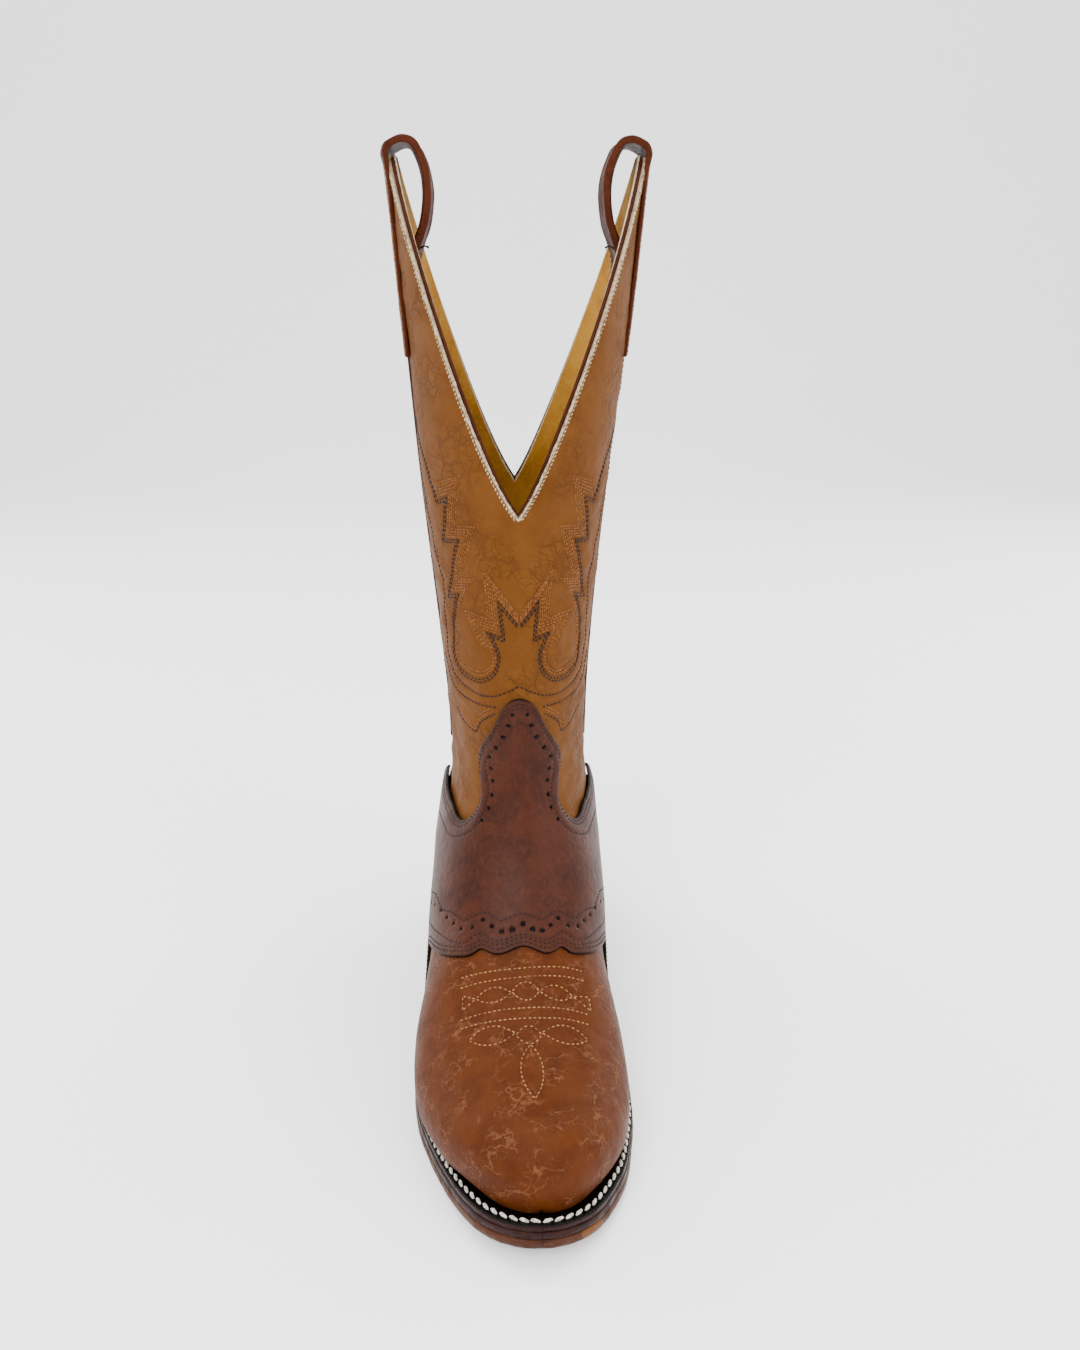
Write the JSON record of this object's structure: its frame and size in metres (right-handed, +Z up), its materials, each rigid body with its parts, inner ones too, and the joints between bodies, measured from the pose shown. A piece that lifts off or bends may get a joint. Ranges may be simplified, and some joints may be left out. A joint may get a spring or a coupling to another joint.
{
  "type": "cowboy boot",
  "caption": "Tall western boot for the right foot: deep V shaft with loop pull straps, scalloped saddle overlay with tongue, stitched round toe, welted double sole and stacked heel.",
  "frame": {"origin": "on the floor, in the middle of the boot's length and width", "axes": "+Z up the shaft, -Y towards the toe, -X towards the outer (lateral) side of this right boot, +X towards the inner (medial) side"},
  "size_m": [0.1248, 0.3023, 0.4483],
  "materials": {
    "outsole_leather": "burnished vegetable-tanned sole leather",
    "dark_sole_leather": "dark reddish-brown burnished edge",
    "black_welt": "black dyed, matt",
    "white_thread": "waxed white lockstitch thread",
    "cork": "ground cork and resin",
    "shank_steel": "plain spring steel",
    "insole_leather": "natural, smooth",
    "gold_lining": "mustard-gold suede-like lining",
    "peg_wood": "lemonwood pegs",
    "heel_leather": "stacked, burnished",
    "heel_rubber": "matt black-brown rubber",
    "nail_steel": "plain",
    "vamp_leather": "mid-brown, heavy natural wrinkle grain, waxy",
    "stiffener": "firm board leather",
    "foot_lining": "natural pigskin",
    "saddle_leather": "dark brown, smooth, pull-up sheen",
    "tan_thread": "light tan polyester thread",
    "brown_thread": "reddish-brown polyester thread",
    "shaft_leather": "tan, creased, satin",
    "bead_leather": "brown, folded",
    "strap_leather": "reddish-brown, rough raw edges",
    "plum_thread": "dark plum thread"
  },
  "bodies": {
    "foot": {"outsole": "outsole_leather", "midsole": "dark_sole_leather", "welt": "black_welt", "heel_rand": "dark_sole_leather", "welt_stitching": "white_thread", "cork_filler": "cork", "shank": "shank_steel", "insole": "insole_leather", "sock_liner": "gold_lining", "waist_pegs": "peg_wood", "heel_lift_1": "heel_leather", "heel_lift_2": "heel_leather", "heel_lift_3": "heel_leather", "heel_lift_4": "heel_leather", "heel_cap": "heel_rubber", "heel_nails": "nail_steel", "vamp": "vamp_leather", "toe_box": "stiffener", "vamp_lining": "foot_lining", "saddle_overlay": "saddle_leather", "counter_cover": "saddle_leather", "counter_stiffener": "stiffener", "heel_lining": "foot_lining", "toe_bug_stitching": "tan_thread", "saddle_stitching": "brown_thread", "counter_stitching": "brown_thread"},
    "shaft": {"front_panel": "shaft_leather", "back_panel": "shaft_leather", "front_lining": "gold_lining", "back_lining": "gold_lining", "side_piping_lateral": "bead_leather", "side_piping_medial": "bead_leather", "front_top_bead": "bead_leather", "back_top_bead": "bead_leather", "pull_strap_lateral": "strap_leather", "pull_strap_medial": "strap_leather", "front_shaft_stitching": "plum_thread", "back_shaft_stitching": "plum_thread", "strap_stitching": "tan_thread"}
  },
  "joints": [
    {"name": "ankle_flex", "type": "hinge", "parent": "foot", "child": "shaft", "pos_m": [0, 0.062, 0.192], "axis": [1, 0, 0], "range_deg": [0, 8], "stiffness_Nm_per_rad": 15}
  ]
}
